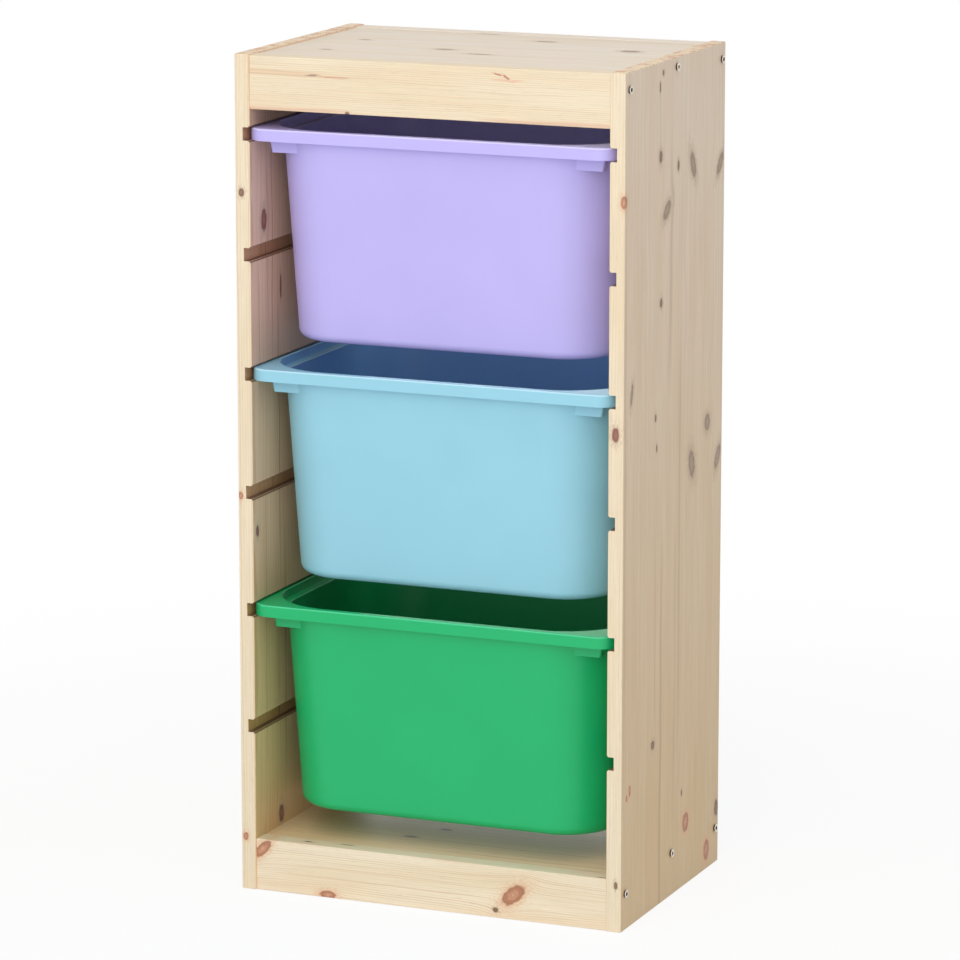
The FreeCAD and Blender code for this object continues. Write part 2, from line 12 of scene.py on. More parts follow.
import bpy
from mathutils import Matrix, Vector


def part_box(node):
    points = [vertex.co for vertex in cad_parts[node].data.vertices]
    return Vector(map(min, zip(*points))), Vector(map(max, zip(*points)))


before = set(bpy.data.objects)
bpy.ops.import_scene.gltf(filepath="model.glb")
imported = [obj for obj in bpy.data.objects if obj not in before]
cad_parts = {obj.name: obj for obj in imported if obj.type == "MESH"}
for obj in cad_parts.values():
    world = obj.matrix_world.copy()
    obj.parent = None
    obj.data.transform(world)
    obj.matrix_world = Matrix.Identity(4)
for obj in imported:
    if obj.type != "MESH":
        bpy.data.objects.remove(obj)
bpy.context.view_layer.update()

MM = 0.001

# %% [markdown]
# ## The camera
#
# The photograph was taken from far away, a little above the object and to its right. A long lens keeps the
# upright edges nearly parallel. A camera could be placed by eye, but here its place and its lens were
# worked out from the frame's corners, whose real sizes are known.

# %% Place the camera
PHOTO_PIXELS = 960
FOCAL_PIXELS = 5022.08
SENSOR_MM = 36
CAMERA_PLACE = (2.03043, -4.90222, 1.54809)
CAMERA_TURN = 0.393146
CAMERA_DOWN = 0.205634
FARTHEST_SEEN = 200

camera_data = bpy.data.cameras.new("photo_camera")
camera_data.sensor_width = SENSOR_MM
camera_data.lens = FOCAL_PIXELS / PHOTO_PIXELS * SENSOR_MM
camera_data.clip_end = FARTHEST_SEEN
camera = bpy.data.objects.new("photo_camera", camera_data)
camera.location = CAMERA_PLACE
camera.rotation_euler = (math.pi / 2 - CAMERA_DOWN, 0, CAMERA_TURN)
bpy.context.scene.collection.objects.link(camera)
bpy.context.scene.camera = camera
print("lens", round(camera_data.lens, 1), "mm")

# %% [markdown]
# ## Helpers for materials
#
# Colours are written as sRGB hex values, as they are read off a screen. Blender's shaders count in linear
# light, so one function turns them. A second function adds any kind of node, sets it up and links it in a
# single call, so a pattern reads from top to bottom like a recipe.


# %% Colour and node helpers
def linear(hex_colour):
    """An sRGB hex colour as linear RGBA, by the formula of the sRGB standard."""
    channels = [int(hex_colour[i:i + 2], 16) / 255 for i in (1, 3, 5)]
    return [c / 12.92 if c <= 0.04045 else ((c + 0.055) / 1.055) ** 2.4 for c in channels] + [1]


def add(tree, kind, *values, named=None, **settings):
    """Add a node with its settings, and fill its inputs: in order, then the named ones.

    A value is a number, vector or colour to set, or a socket or node to link from."""
    new = tree.nodes.new(kind if kind.startswith("Node") else "ShaderNode" + kind)
    for name, value in settings.items():
        setattr(new, name, value)
    fed = list(zip([socket for socket in new.inputs if socket.enabled], values))
    fed += [(new.inputs[name], value) for name, value in (named or {}).items()]
    for socket, value in fed:
        if isinstance(value, bpy.types.Node):
            value = next(output for output in value.outputs if output.enabled)
        if isinstance(value, bpy.types.NodeSocket):
            tree.links.new(value, socket)
        else:
            socket.default_value = value
    return new


def new_material(name):
    """An empty material, its node tree and its output node."""
    material = bpy.data.materials.new(name)
    material.use_nodes = True
    material.node_tree.nodes.clear()
    return material, material.node_tree, add(material.node_tree, "OutputMaterial")


def dress(node_name, material):
    """Give a CAD piece its material."""
    mesh_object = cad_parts[node_name]
    if not mesh_object.material_slots:
        mesh_object.data.materials.append(material)
    for slot in mesh_object.material_slots:
        slot.material = material


print("middle grey is", round(linear("#808080")[0], 3), "in linear light")

# %% [markdown]
# ## The floor and the studio
#
# The object stands in a white studio. Lamps strong enough to turn a sheet of paper pure white would flood
# the object too, so this sheet glows by itself, almost at the strength of white, wherever the camera sees
# it, also in a mirroring gloss. Only a small part of what is seen there is lit by the lamps, so the soft
# shadow at the object's feet stays faint. That part fades out further away, where the sheet becomes the
# backdrop. For the light that bounces between things, the sheet is plain white paper.

# %% Make the floor
FLOOR_SIZE, FLOOR_GAP = 80, 0.0005
bpy.ops.object.select_all(action="DESELECT")
bpy.ops.mesh.primitive_plane_add(size=FLOOR_SIZE, location=(0, 0, -FLOOR_GAP))
floor = bpy.context.object
floor.name = "studio_floor"

WHITE = "#ffffff"
FLOOR_LIT_SHARE = 0.12
FLOOR_LIT_NEAR, FLOOR_LIT_FAR = 0.5, 1.6


def in_view(tree):
    """1 for rays of the camera, mirrored and refracted ones too, and 0 for light that bounces."""
    rays = add(tree, "LightPath").outputs
    seen = add(tree, "Math", rays["Is Camera Ray"], rays["Is Glossy Ray"], operation="MAXIMUM")
    return add(tree, "Math", seen, rays["Is Transmission Ray"], operation="MAXIMUM")


paper, tree, out = new_material("white_paper_floor")
from_middle = add(tree, "VectorMath", add(tree, "TexCoord").outputs["Object"], operation="LENGTH")
glow_share = add(tree, "MapRange", from_middle, FLOOR_LIT_NEAR, FLOOR_LIT_FAR, 1 - FLOOR_LIT_SHARE, 1,
                 interpolation_type="SMOOTHSTEP")
glow_share = add(tree, "Math", glow_share, in_view(tree), operation="MULTIPLY")
lit = add(tree, "BsdfDiffuse", linear(WHITE))
glow = add(tree, "Emission", linear(WHITE), 1.0)
tree.links.new(add(tree, "MixShader", glow_share, lit, glow).outputs[0], out.inputs["Surface"])
floor.data.materials.append(paper)
print("floor", floor.dimensions[:])

# %% [markdown]
# ## The lamps
#
# Large soft lamps light the front, the right side and the top, so no shadow has a hard edge. The front
# lamp is so large that it reaches almost down to the floor, and some of its light gets in under the rails
# and into the bins. The side lamp stands a little behind the object: the screw heads cast their small
# shadows towards the front. A small low lamp behind the object shines through the open back, so that the
# lacquer of the bottom board catches its light. The white room itself adds a dim light from everywhere.

# %% Light the studio
OBJECT_MIDDLE, LOWER_PART = (0, 0, 0.45), (0, 0, 0.2)


def softbox(name, place, size, power, aim=OBJECT_MIDDLE):
    """A square lamp at a place, turned to shine at a point: metres and watts."""
    data = bpy.data.lights.new(name, "AREA")
    data.size = size
    data.energy = power
    lamp = bpy.data.objects.new(name, data)
    lamp.location = place
    away = [p - a for p, a in zip(place, aim)]
    lamp.rotation_euler = (math.acos(away[2] / math.hypot(*away)), 0, math.atan2(away[0], -away[1]))
    bpy.context.scene.collection.objects.link(lamp)


softbox("front_lamp", place=(0.2, -3.6, 1.7), size=3.2, power=59)
softbox("side_lamp", place=(3.2, 0.6, 1.8), size=2.0, power=13)
softbox("top_lamp", place=(0.2, -1.2, 3.0), size=2.4, power=27)
softbox("back_lamp", place=(-1.3, 3.2, 0.6), size=1.0, power=27, aim=LOWER_PART)

ROOM_LIGHT = 0.37
world = bpy.data.worlds.new("studio_room")
bpy.context.scene.world = world
world.use_nodes = True
tree = world.node_tree
tree.nodes.clear()
seen = in_view(tree)
room = add(tree, "Background", linear(WHITE), ROOM_LIGHT)
backdrop = add(tree, "Background", linear(WHITE), 1.0)
add(tree, "OutputWorld", add(tree, "MixShader", seen, room, backdrop))
bpy.context.scene.view_settings.view_transform = "Standard"

# %% [markdown]
# ## Pine: how the wood is drawn
#
# The panels and boards are solid Scots pine, edge-glued from strips, planed and finished with a thin clear
# lacquer. Pine is cream with thin tan lines where a year ends. A picture of wood could be wrapped round
# each piece, but its lines would break at every edge. So the pattern is worked out in space. The lines are
# where the tree's growth rings, which are long nested cones, meet the planed face, and the pattern starts
# from the distance to their core, beside or behind the piece. Each strip comes from another place in the
# tree.
#
# Where a branch was, the rings bend round a knot. One node group measures a branch: how near a point is to
# it, counted in its own radii, and how far it pushes the grain aside.

# %% A branch that bends the grain
BRANCH = bpy.data.node_groups.new("branch_in_pine", "ShaderNodeTree")
for name, kind in (("Place", "Vector"), ("Centre", "Vector"), ("Radii", "Vector"), ("Lean", "Float"),
                   ("Bends", "Vector")):
    BRANCH.interface.new_socket(name, in_out="INPUT", socket_type="NodeSocket" + kind)
for name, kind in (("Nearness", "Float"), ("Push", "Vector")):
    BRANCH.interface.new_socket(name, in_out="OUTPUT", socket_type="NodeSocket" + kind)
CORE_OF_BRANCH = 0.6
given = add(BRANCH, "NodeGroupInput").outputs
away = add(BRANCH, "VectorMath", given["Place"], given["Centre"], operation="SUBTRACT")
turned = add(BRANCH, "VectorRotate", away, (0, 0, 0), given["Lean"], rotation_type="Z_AXIS")
ratio = add(BRANCH, "VectorMath", turned, given["Radii"], operation="DIVIDE")
squared = add(BRANCH, "VectorMath", ratio, ratio, operation="DOT_PRODUCT")
spread = add(BRANCH, "Math", squared, CORE_OF_BRANCH, operation="MAXIMUM")
aside = add(BRANCH, "VectorMath", away, given["Bends"], operation="MULTIPLY")
push = add(BRANCH, "VectorMath", aside, operation="SCALE",
           named={"Scale": add(BRANCH, "Math", 1.0, spread, operation="DIVIDE")})
add(BRANCH, "NodeGroupOutput", add(BRANCH, "Math", squared, operation="SQRT"), push)
print("branch nodes", len(BRANCH.nodes))

# %% [markdown]
# A knot is written down as its place, its width across the grain, its length along it and its lean in
# degrees. A face knot goes through the board, so it shows on both wide faces. An edge knot only shows on a
# narrow edge, so it also has a place through the thickness. Scattered by chance, knots would be quicker to
# make, but they would fall on the wrong faces.

# %% Knots and dark lines
WARM_HALO, TAN_HALO = "#e2b48f", "#c4a98f"
# Each tone is the halo, the heart, the middle and the rim.
KNOT_COLOURS = {
    "red": (WARM_HALO, "#cf9c80", "#bf8468", "#97583e"),
    "pale": (TAN_HALO, "#a8937f", "#a18b76", "#8a7461"),
    "dark": (TAN_HALO, "#8f6c53", "#7c5a44", "#5f4231"),
    "wine": (TAN_HALO, "#a5665a", "#8f4f46", "#743a34"),
}
THROUGH_THE_BOARD = 100000
EDGE_KNOT_DEPTH = 7


def face_knot(across, along, width, length, lean=0, tone="pale"):
    """A knot that goes through the board."""
    return {"centre": (across, along, 0), "radii": (width / 2, length / 2, THROUGH_THE_BOARD),
            "lean": math.radians(lean), "bends": (1, 0, 0), "tone": tone}


def edge_knot(through, along, width, length, across, tone="red"):
    """A knot that shows only on a narrow edge."""
    return {"centre": (across, along, through), "radii": (EDGE_KNOT_DEPTH, length / 2, width / 2),
            "lean": 0, "bends": (0, 0, 1), "tone": tone}


def dark_line(across, start, end, width, strength, colour="#a98a6c"):
    """A resin or heartwood line along the grain; one band on the bottom rail is painted light."""
    return {"across": across, "start": start, "end": end, "width": width, "strength": strength,
            "colour": colour}


print("knot tones", ", ".join(KNOT_COLOURS))

# %% [markdown]
# A pattern has to run with the grain, and the panels stand while the boards lie. So each board gets its
# own coordinates in millimetres: across the grain, along it and through the thickness. Noise that is
# stretched along the grain then gives fibres, clouds and marks of any size.

# %% The board's own coordinates
AXES = {"X": 0, "Y": 1, "Z": 2}


def board_space(tree, along, across, through):
    """Millimetres across, along and through a board, and how squarely a face looks along and through."""
    coordinates = add(tree, "TexCoord").outputs
    place = add(tree, "VectorMath", coordinates["Object"], operation="SCALE", named={"Scale": 1 / MM})
    place = add(tree, "SeparateXYZ", place).outputs
    normal = add(tree, "SeparateXYZ", coordinates["Normal"]).outputs
    order = [AXES[across], AXES[along], AXES[through]]
    board = add(tree, "CombineXYZ", *[place[i] for i in order])
    return (board, add(tree, "Math", normal[order[1]], operation="ABSOLUTE"),
            add(tree, "Math", normal[order[2]], operation="ABSOLUTE"))


def stretched_noise(tree, source, across_mm, along_mm, detail):
    """Noise whose spots are so many millimetres across the grain and along it."""
    scale = (1 / across_mm, 1 / along_mm, 1 / across_mm)
    return add(tree, "TexNoise", add(tree, "VectorMath", source, scale, operation="MULTIPLY"),
               named={"Scale": 1.0, "Detail": detail})


def patches(tree, colour, source, patch_colour, across_mm, along_mm, detail, levels, most):
    """Blend a colour in where a noise is high: from none at the first level to most at the second."""
    noise = stretched_noise(tree, source, across_mm, along_mm, detail)
    share = add(tree, "MapRange", noise, *levels, 0, most)
    return add(tree, "Mix", share, colour, linear(patch_colour), data_type="RGBA")


def shaded(tree, colour, shade):
    """A colour made darker or lighter by a number."""
    return add(tree, "Mix", 1.0, colour, add(tree, "CombineXYZ", shade, shade, shade),
               data_type="RGBA", blend_type="MULTIPLY")


def bend_round_knots(tree, board, knots):
    """The board's coordinates with the grain pushed aside, and the nearest knot of each tone."""
    pushed, nearest = board, {}
    for knot in knots:
        branch = add(tree, "Group", board, knot["centre"], knot["radii"], knot["lean"], knot["bends"],
                     node_tree=BRANCH)
        pushed = add(tree, "VectorMath", pushed, branch.outputs["Push"], operation="SUBTRACT")
        near, tone = branch.outputs["Nearness"], knot["tone"]
        if tone in nearest:
            near = add(tree, "Math", nearest[tone], near, operation="MINIMUM")
        nearest[tone] = near
    return pushed, nearest


print("coordinates", ", ".join(AXES), "in steps of", MM, "m")

# %% [markdown]
# The rings are counted from the core: the distance divided by the width of a ring. The fraction that is
# left over says how late in the year the wood grew. It is pale through spring, darkens towards autumn, and
# starts again at once. Every year draws its own strength, and every strip its own core, slope and ring
# width, so no two lines match. Two noises make the rings wander, widely and in small ripples.

# %% Growth rings
RING_WIDTHS = (1.9, 3.6)
CORE_NEAR, CORE_SPREAD = 45, 170
CORE_DEPTHS = (8, 48)
CONE_SLOPE = 0.012
WANDER_ACROSS, WANDER_ALONG, WANDER_RINGS = 60, 380, 1.8
RIPPLE_SHARE = 0.6
AUTUMN, WINTER = (0.4, 0.9), (0.93, 1.0)
YEAR_STRENGTHS = (0.12, 0.7)


def growth_rings(tree, board, pushed, strip, strip_start, seed, ring_widths):
    """How much late wood there is at a point, and three random numbers for its strip."""
    across, along, _ = add(tree, "SeparateXYZ", board).outputs
    grain_across, _, grain_through = add(tree, "SeparateXYZ", pushed).outputs
    number = add(tree, "Math", across, strip_start, operation="SUBTRACT")
    number = add(tree, "Math", add(tree, "Math", number, strip, operation="DIVIDE"), operation="FLOOR")
    own_number = add(tree, "Math", number, seed, operation="ADD")
    drawn = add(tree, "TexWhiteNoise", own_number, noise_dimensions="1D")
    chance = add(tree, "SeparateColor", drawn.outputs["Color"]).outputs

    middle = add(tree, "Math", number, strip, strip_start + strip / 2, operation="MULTIPLY_ADD")
    off = add(tree, "Math", chance[0], 0.5, operation="SUBTRACT")
    off_side = add(tree, "Math", off, operation="SIGN")
    core = add(tree, "Math", add(tree, "Math", off, CORE_SPREAD, middle, operation="MULTIPLY_ADD"),
               add(tree, "Math", off_side, CORE_NEAR, operation="MULTIPLY"), operation="ADD")
    slope = add(tree, "MapRange", chance[1], 0, 1, -CONE_SLOPE, CONE_SLOPE)
    drift = add(tree, "Math", along, slope, operation="MULTIPLY")
    sideways = add(tree, "Math", add(tree, "Math", grain_across, core, operation="SUBTRACT"), drift,
                   operation="ADD")
    depth = add(tree, "Math", add(tree, "MapRange", chance[2], 0, 1, *CORE_DEPTHS), grain_through,
                operation="ADD")
    radius = add(tree, "VectorMath", add(tree, "CombineXYZ", sideways, depth, 0.0), operation="LENGTH")

    stretched = add(tree, "CombineXYZ", add(tree, "Math", across, WANDER_ACROSS, operation="DIVIDE"),
                    add(tree, "Math", along, WANDER_ALONG, operation="DIVIDE"), own_number)
    wander = add(tree, "TexNoise", stretched, named={"Scale": 1.0, "Detail": 2.0})
    ripple = stretched_noise(tree, board, across_mm=16, along_mm=120, detail=1.0)
    wander = add(tree, "Math", ripple, RIPPLE_SHARE, wander, operation="MULTIPLY_ADD")
    width = add(tree, "MapRange", drawn.outputs["Value"], 0, 1, *ring_widths)
    rings = add(tree, "Math", wander, WANDER_RINGS,
                add(tree, "Math", radius, width, operation="DIVIDE"), operation="MULTIPLY_ADD")
    season = add(tree, "Math", rings, operation="FRACT")
    autumn = add(tree, "MapRange", season, *AUTUMN, 0, 1, interpolation_type="SMOOTHSTEP")
    winter = add(tree, "MapRange", season, *WINTER, 1, 0, interpolation_type="SMOOTHSTEP")
    year = add(tree, "TexWhiteNoise", add(tree, "Math", rings, operation="FLOOR"),
               noise_dimensions="1D")
    strength = add(tree, "MapRange", year, 0, 1, *YEAR_STRENGTHS)
    late = add(tree, "Math", add(tree, "Math", autumn, winter, operation="MULTIPLY"), strength,
               operation="MULTIPLY")
    return late, chance


print("rings are", RING_WIDTHS, "mm wide")

# %% [markdown]
# Dark lines are resin or heartwood that a saw cut along the grain. They are written down, as the knots
# are.
# Each keeps its full strength over its middle stretch, fades out towards its ends and wobbles a little,
# because a ruled line looks drawn.
# One of them, a pale warm band on the bottom rail, is painted light.

# %% Dark lines
WOBBLE_MM = 5.0
FULL_STRENGTH_STRETCH = 0.4


def draw_dark_lines(tree, colour, board, pushed, lines):
    """Blend each hand-placed line into the colour."""
    grain_across = add(tree, "SeparateXYZ", pushed).outputs[0]
    along = add(tree, "SeparateXYZ", board).outputs[1]
    wobble = stretched_noise(tree, board, across_mm=40, along_mm=90, detail=1.0)
    wobble = add(tree, "Math", wobble, WOBBLE_MM, -WOBBLE_MM / 2, operation="MULTIPLY_ADD")
    wobbling = add(tree, "Math", grain_across, wobble, operation="ADD")
    for line in lines:
        middle, half = (line["start"] + line["end"]) / 2, (line["end"] - line["start"]) / 2
        off = add(tree, "Math", add(tree, "Math", wobbling, line["across"], operation="SUBTRACT"),
                  operation="ABSOLUTE")
        beyond = add(tree, "Math", add(tree, "Math", along, middle, operation="SUBTRACT"),
                     operation="ABSOLUTE")
        fade = add(tree, "MapRange", beyond, FULL_STRENGTH_STRETCH * half, half, line["strength"], 0,
                   interpolation_type="SMOOTHSTEP")
        dark = add(tree, "MapRange", off, 0, line["width"] / 2, fade, 0,
                   interpolation_type="SMOOTHSTEP")
        colour = add(tree, "Mix", dark, colour, linear(line["colour"]), data_type="RGBA")
    return colour


print("lines wobble by", WOBBLE_MM, "mm")

# %% [markdown]
# A knot is the cut end of a branch: a heart with a few rings of its own and a darker rim, in a halo of
# resin that runs out into the wood in short rays. A disc of one colour would look like a sticker, so its
# outline, its rays and its rings all come from the distance to it, roughened by noise. Distances here
# count in the knot's own radii.

# %% Knots
NOISE_LEVELS = (0.3, 0.7)
OUTLINE_ROUGHNESS = 0.5
HALO_BEGINS, HALO_REACHES, HALO_STRENGTH = 0.8, (1.5, 3.2), 0.75
RAY_LEVELS, RAY_SHADES = (0.4, 0.65), (0.86, 1.1)
KNOT_MIDDLE, KNOT_RIM = 0.5, 0.95
KNOT_OUTLINE, KNOT_STRENGTH = (0.8, 1.12), 0.88
# The sine of the distance times this number gives about three rings.
KNOT_RING_PACE, KNOT_RING_STRENGTH = 19, 0.12


def draw_knots(tree, colour, board, nearest):
    """Each knot is a halo and, inside its outline, a heart that darkens towards the rim."""
    uneven = stretched_noise(tree, board, across_mm=4.0, along_mm=6.0, detail=2.0)
    rays = stretched_noise(tree, board, across_mm=0.9, along_mm=4.0, detail=2.0)
    for tone, near in nearest.items():
        resin, heart, middle, rim = (linear(c) for c in KNOT_COLOURS[tone])
        near = add(tree, "Math", near, add(tree, "Math", uneven, OUTLINE_ROUGHNESS,
                                           -OUTLINE_ROUGHNESS / 2, operation="MULTIPLY_ADD"),
                   operation="ADD")
        reach = add(tree, "MapRange", rays, *RAY_LEVELS, *HALO_REACHES)
        halo = add(tree, "MapRange", near, HALO_BEGINS, reach, HALO_STRENGTH, 0,
                   interpolation_type="SMOOTHSTEP")
        colour = add(tree, "Mix", halo, colour, resin, data_type="RGBA")
        ramp = add(tree, "ValToRGB", near)
        for element, place, shade in zip(ramp.color_ramp.elements, (0.0, KNOT_RIM), (heart, rim)):
            element.position, element.color = place, shade
        ramp.color_ramp.elements.new(KNOT_MIDDLE).color = middle
        yearly = add(tree, "Math", add(tree, "Math", near, KNOT_RING_PACE, operation="MULTIPLY"),
                     operation="SINE")
        mottle = add(tree, "Math", yearly, KNOT_RING_STRENGTH,
                     add(tree, "MapRange", rays, *NOISE_LEVELS, *RAY_SHADES), operation="MULTIPLY_ADD")
        flesh = shaded(tree, ramp, mottle)
        inside = add(tree, "MapRange", near, *KNOT_OUTLINE, KNOT_STRENGTH, 0,
                     interpolation_type="SMOOTHSTEP")
        colour = add(tree, "Mix", inside, colour, flesh, data_type="RGBA")
    return colour


print("halos reach", HALO_REACHES, "radii")

# %% [markdown]
# Each face of a piece of pine has its own tone. The planed wide faces are tinted, and a panel's foot
# differs a little from its top. The tint is partly the wood's tone and partly painted light and shade:
# it stands in for the colour of the light on each face, darker and warmer towards a panel's foot. The
# sawn ends drink lacquer, turn deeper and show the rings as arcs. Inside the runner grooves the bottom and
# the cut sides are painted darker, as painted shade, and a ragged dark fringe runs under each groove.
# Faces could get materials of their own, but a face's direction and place tell it apart, so one material
# follows the whole piece.

# %% Tones of the faces
END_GRAIN, END_RINGS, END_BLOTS = "#f4dfbd", "#bd8556", "#d79c78"
# The first colour is the dark pits in sawn ends and also the painted shade on the cut sides of the
# grooves; the second is the ragged fringe under each groove.
DARK_PITS_AND_GROOVE_SHADE, FRINGE = "#6a4835", "#7d5c44"
# Painted shade on the bottom of each groove.
GROOVE_BOTTOM_SHADE = "#ecd6be"
PANEL_INNER_FACE, GROOVE_BOTTOM = 203, 211
# The margins keep rounding from deciding which face a point is on.
GROOVE_MARGIN, FACE_MARGIN = 0.3, 0.4
PANEL_MIDDLE, PANEL_HALF = 455, 450
FIRST_GROOVE_LOWER_EDGE, GROOVE_PITCH, GROOVES = 818.4, 128.5, 6
# How strongly painted shade darkens the grooves' cut sides, and how strong the fringe is.
GROOVE_SHADE_STRENGTH, FRINGE_STRENGTH = 0.9, 0.7
FRINGE_LEVELS, FRINGE_DEPTHS = (0.35, 0.75), (1.0, 5.0)
# How squarely a surface has to look a way to count as a wide face, a sawn end or a groove's cut side.
WIDE_FACE, SAWN_END, CUT_SIDE = (0.5, 0.9), (0.3, 0.8), (0.2, 0.6)


def tint_faces_with_painted_light(tree, colour, board, squarely_through, tints_with_painted_light, tinted, foot, top):
    """Multiply the wide faces by a tint that changes from one end of the board to the other.
    The tint is partly the wood's tone and partly painted light and shade.

    Tinted says how deep in the board the tinted faces lie: a middle and a half width."""
    _, along, through = add(tree, "SeparateXYZ", board).outputs
    height = add(tree, "MapRange", along, foot, top, 0, 1)
    # Partly wood tone and partly painted light and shade: the tint runs from the foot's colour to the
    # top's.
    tint = add(tree, "Mix", height, linear(tints_with_painted_light[0]), linear(tints_with_painted_light[1]), data_type="RGBA")
    wide = add(tree, "MapRange", squarely_through, *WIDE_FACE, 0, 1)
    wide = add(tree, "Math", wide, add(tree, "Math", through, *tinted, operation="COMPARE"),
               operation="MULTIPLY")
    return add(tree, "Mix", wide, colour, tint, data_type="RGBA", blend_type="MULTIPLY")


def shade_grooves(tree, colour, board, squarely_along, squarely_through):
    """Paint shade inside a panel's milled grooves, and darken a ragged fringe under them."""
    _, along, through = add(tree, "SeparateXYZ", board).outputs
    sideways = add(tree, "Math", through, operation="ABSOLUTE")
    in_groove = add(tree, "Math", sideways, (PANEL_INNER_FACE + GROOVE_BOTTOM) / 2 + GROOVE_MARGIN,
                    (GROOVE_BOTTOM - PANEL_INNER_FACE) / 2, operation="COMPARE")
    # Painted shade on the groove's bottom.
    bottom = add(tree, "Math", in_groove, squarely_through, operation="MULTIPLY")
    colour = add(tree, "Mix", bottom, colour, linear(GROOVE_BOTTOM_SHADE), data_type="RGBA",
                 blend_type="MULTIPLY")
    # Painted shade on the groove's cut sides.
    shaded_sides = add(tree, "MapRange", squarely_along, *CUT_SIDE, 0, GROOVE_SHADE_STRENGTH)
    above_foot = add(tree, "Math", along, PANEL_MIDDLE, PANEL_HALF, operation="COMPARE")
    colour = add(tree, "Mix", add(tree, "Math", shaded_sides, above_foot, operation="MULTIPLY"), colour,
                 linear(DARK_PITS_AND_GROOVE_SHADE), data_type="RGBA")

    below = add(tree, "Math", add(tree, "Math", FIRST_GROOVE_LOWER_EDGE, along, operation="SUBTRACT"),
                GROOVE_PITCH, operation="FLOORED_MODULO")
    torn = stretched_noise(tree, board, across_mm=1.6, along_mm=9, detail=2.0)
    reach = add(tree, "MapRange", torn, *FRINGE_LEVELS, *FRINGE_DEPTHS)
    fringe = add(tree, "MapRange", below, 0, reach, FRINGE_STRENGTH, 0)
    inner = add(tree, "Math", sideways, PANEL_INNER_FACE + FACE_MARGIN, operation="LESS_THAN")
    inner = add(tree, "Math", inner, squarely_through, operation="MULTIPLY")
    return add(tree, "Mix", add(tree, "Math", fringe, inner, operation="MULTIPLY"), colour,
               linear(FRINGE), data_type="RGBA")


def saw_ends(tree, colour, board, late, squarely_along):
    """End grain shows the rings as arcs, warm blots and the dark pits of torn fibres."""
    end = patches(tree, linear(END_GRAIN), board, END_BLOTS, across_mm=16, along_mm=16, detail=1.0,
                  levels=(0.48, 0.66), most=0.85)
    end = add(tree, "Mix", late, end, linear(END_RINGS), data_type="RGBA")
    end = patches(tree, end, board, DARK_PITS_AND_GROOVE_SHADE, across_mm=2.2, along_mm=2.2, detail=1.0,
                  levels=(0.64, 0.74), most=0.7)
    at_end = add(tree, "MapRange", squarely_along, *SAWN_END, 0, 1)
    return add(tree, "Mix", at_end, colour, end, data_type="RGBA")


print("lowest groove edge", round(FIRST_GROOVE_LOWER_EDGE - GROOVE_PITCH * (GROOVES - 1), 1), "mm up")

# %% [markdown]
# ## Pine: the material
#
# Now the recipe in order: cream early wood and tan late wood, clouds, strips, fibres and resin, then dark
# lines, tints, knots, sawn ends and grooves. The planed surface follows the rings a little, so the same
# pattern drives a faint relief. The clear lacquer leaves a satin gloss, a little smoother over the hard
# late wood.

# %% Lacquered pine
EARLY_WOOD, LATE_WOOD, CLOUD_WOOD, STRIP_WOOD = "#f1e2c7", "#d2ae7f", "#e5caa3", "#ead4b2"
RESIN = "#b58f66"
STRIP_CONTRAST = 0.25
FIBRE_SHADES = (0.93, 1.04)
RING_RELIEF = 0.5
LACQUER_IOR, LACQUER_ROUGHNESS = 1.5, (0.56, 0.44)


def pine(name, along, across, through, strip, strip_start, seed, knots=(), lines=(),
         tints_with_painted_light=(WHITE, WHITE), tinted=(0, THROUGH_THE_BOARD), foot=0, top=1, grooved=False,
         contrast=0.8, early=EARLY_WOOD, ring_widths=RING_WIDTHS, lacquer=0.5):
    """Lacquered pine for one board.

    Along, across and through name the object's axes. Strip is the width of the glued strips, and the
    tint changes from the foot to the top, which are places along the board."""
    material, tree, out = new_material(name)
    board, squarely_along, squarely_through = board_space(tree, along, across, through)
    pushed, nearest = bend_round_knots(tree, board, knots)
    late, chance = growth_rings(tree, board, pushed, strip, strip_start, seed, ring_widths)

    colour = add(tree, "Mix", add(tree, "Math", late, contrast, operation="MULTIPLY"), linear(early),
                 linear(LATE_WOOD), data_type="RGBA")
    colour = patches(tree, colour, board, CLOUD_WOOD, across_mm=24, along_mm=210, detail=2.0,
                     levels=(0.35, 0.7), most=0.4)
    strip_share = add(tree, "Math", chance[1], STRIP_CONTRAST, operation="MULTIPLY")
    colour = add(tree, "Mix", strip_share, colour, linear(STRIP_WOOD), data_type="RGBA")
    fibre = stretched_noise(tree, pushed, across_mm=0.9, along_mm=55, detail=3.0)
    colour = shaded(tree, colour, add(tree, "MapRange", fibre, *NOISE_LEVELS, *FIBRE_SHADES))
    colour = patches(tree, colour, pushed, RESIN, across_mm=0.8, along_mm=13, detail=1.0,
                     levels=(0.64, 0.76), most=0.22)

    if lines:
        colour = draw_dark_lines(tree, colour, board, pushed, lines)
    colour = tint_faces_with_painted_light(tree, colour, board, squarely_through, tints_with_painted_light, tinted, foot, top)
    if knots:
        colour = draw_knots(tree, colour, board, nearest)
    colour = saw_ends(tree, colour, board, late, squarely_along)
    if grooved:
        colour = shade_grooves(tree, colour, board, squarely_along, squarely_through)

    relief = add(tree, "Math", late, RING_RELIEF, fibre, operation="MULTIPLY_ADD")
    bump = add(tree, "Bump", named={"Height": relief, "Strength": 0.25, "Distance": 0.1 * MM})
    gloss = add(tree, "MapRange", late, 0, max(YEAR_STRENGTHS), *LACQUER_ROUGHNESS)
    wood = add(tree, "BsdfPrincipled", named={"Base Color": colour, "Roughness": gloss, "Normal": bump,
                                              "IOR": LACQUER_IOR, "Specular IOR Level": lacquer})
    tree.links.new(wood.outputs[0], out.inputs["Surface"])
    return material


print("early wood", EARLY_WOOD, "and late wood", LATE_WOOD)

# %% [markdown]
# The knots and lines that show are listed piece by piece, in millimetres. The right panel has the most: a
# scatter of pale and dark knots on its wide face and a few on its front edge. Of the left panel's wide
# faces the photograph shows only the inner one, so only that one is tinted.

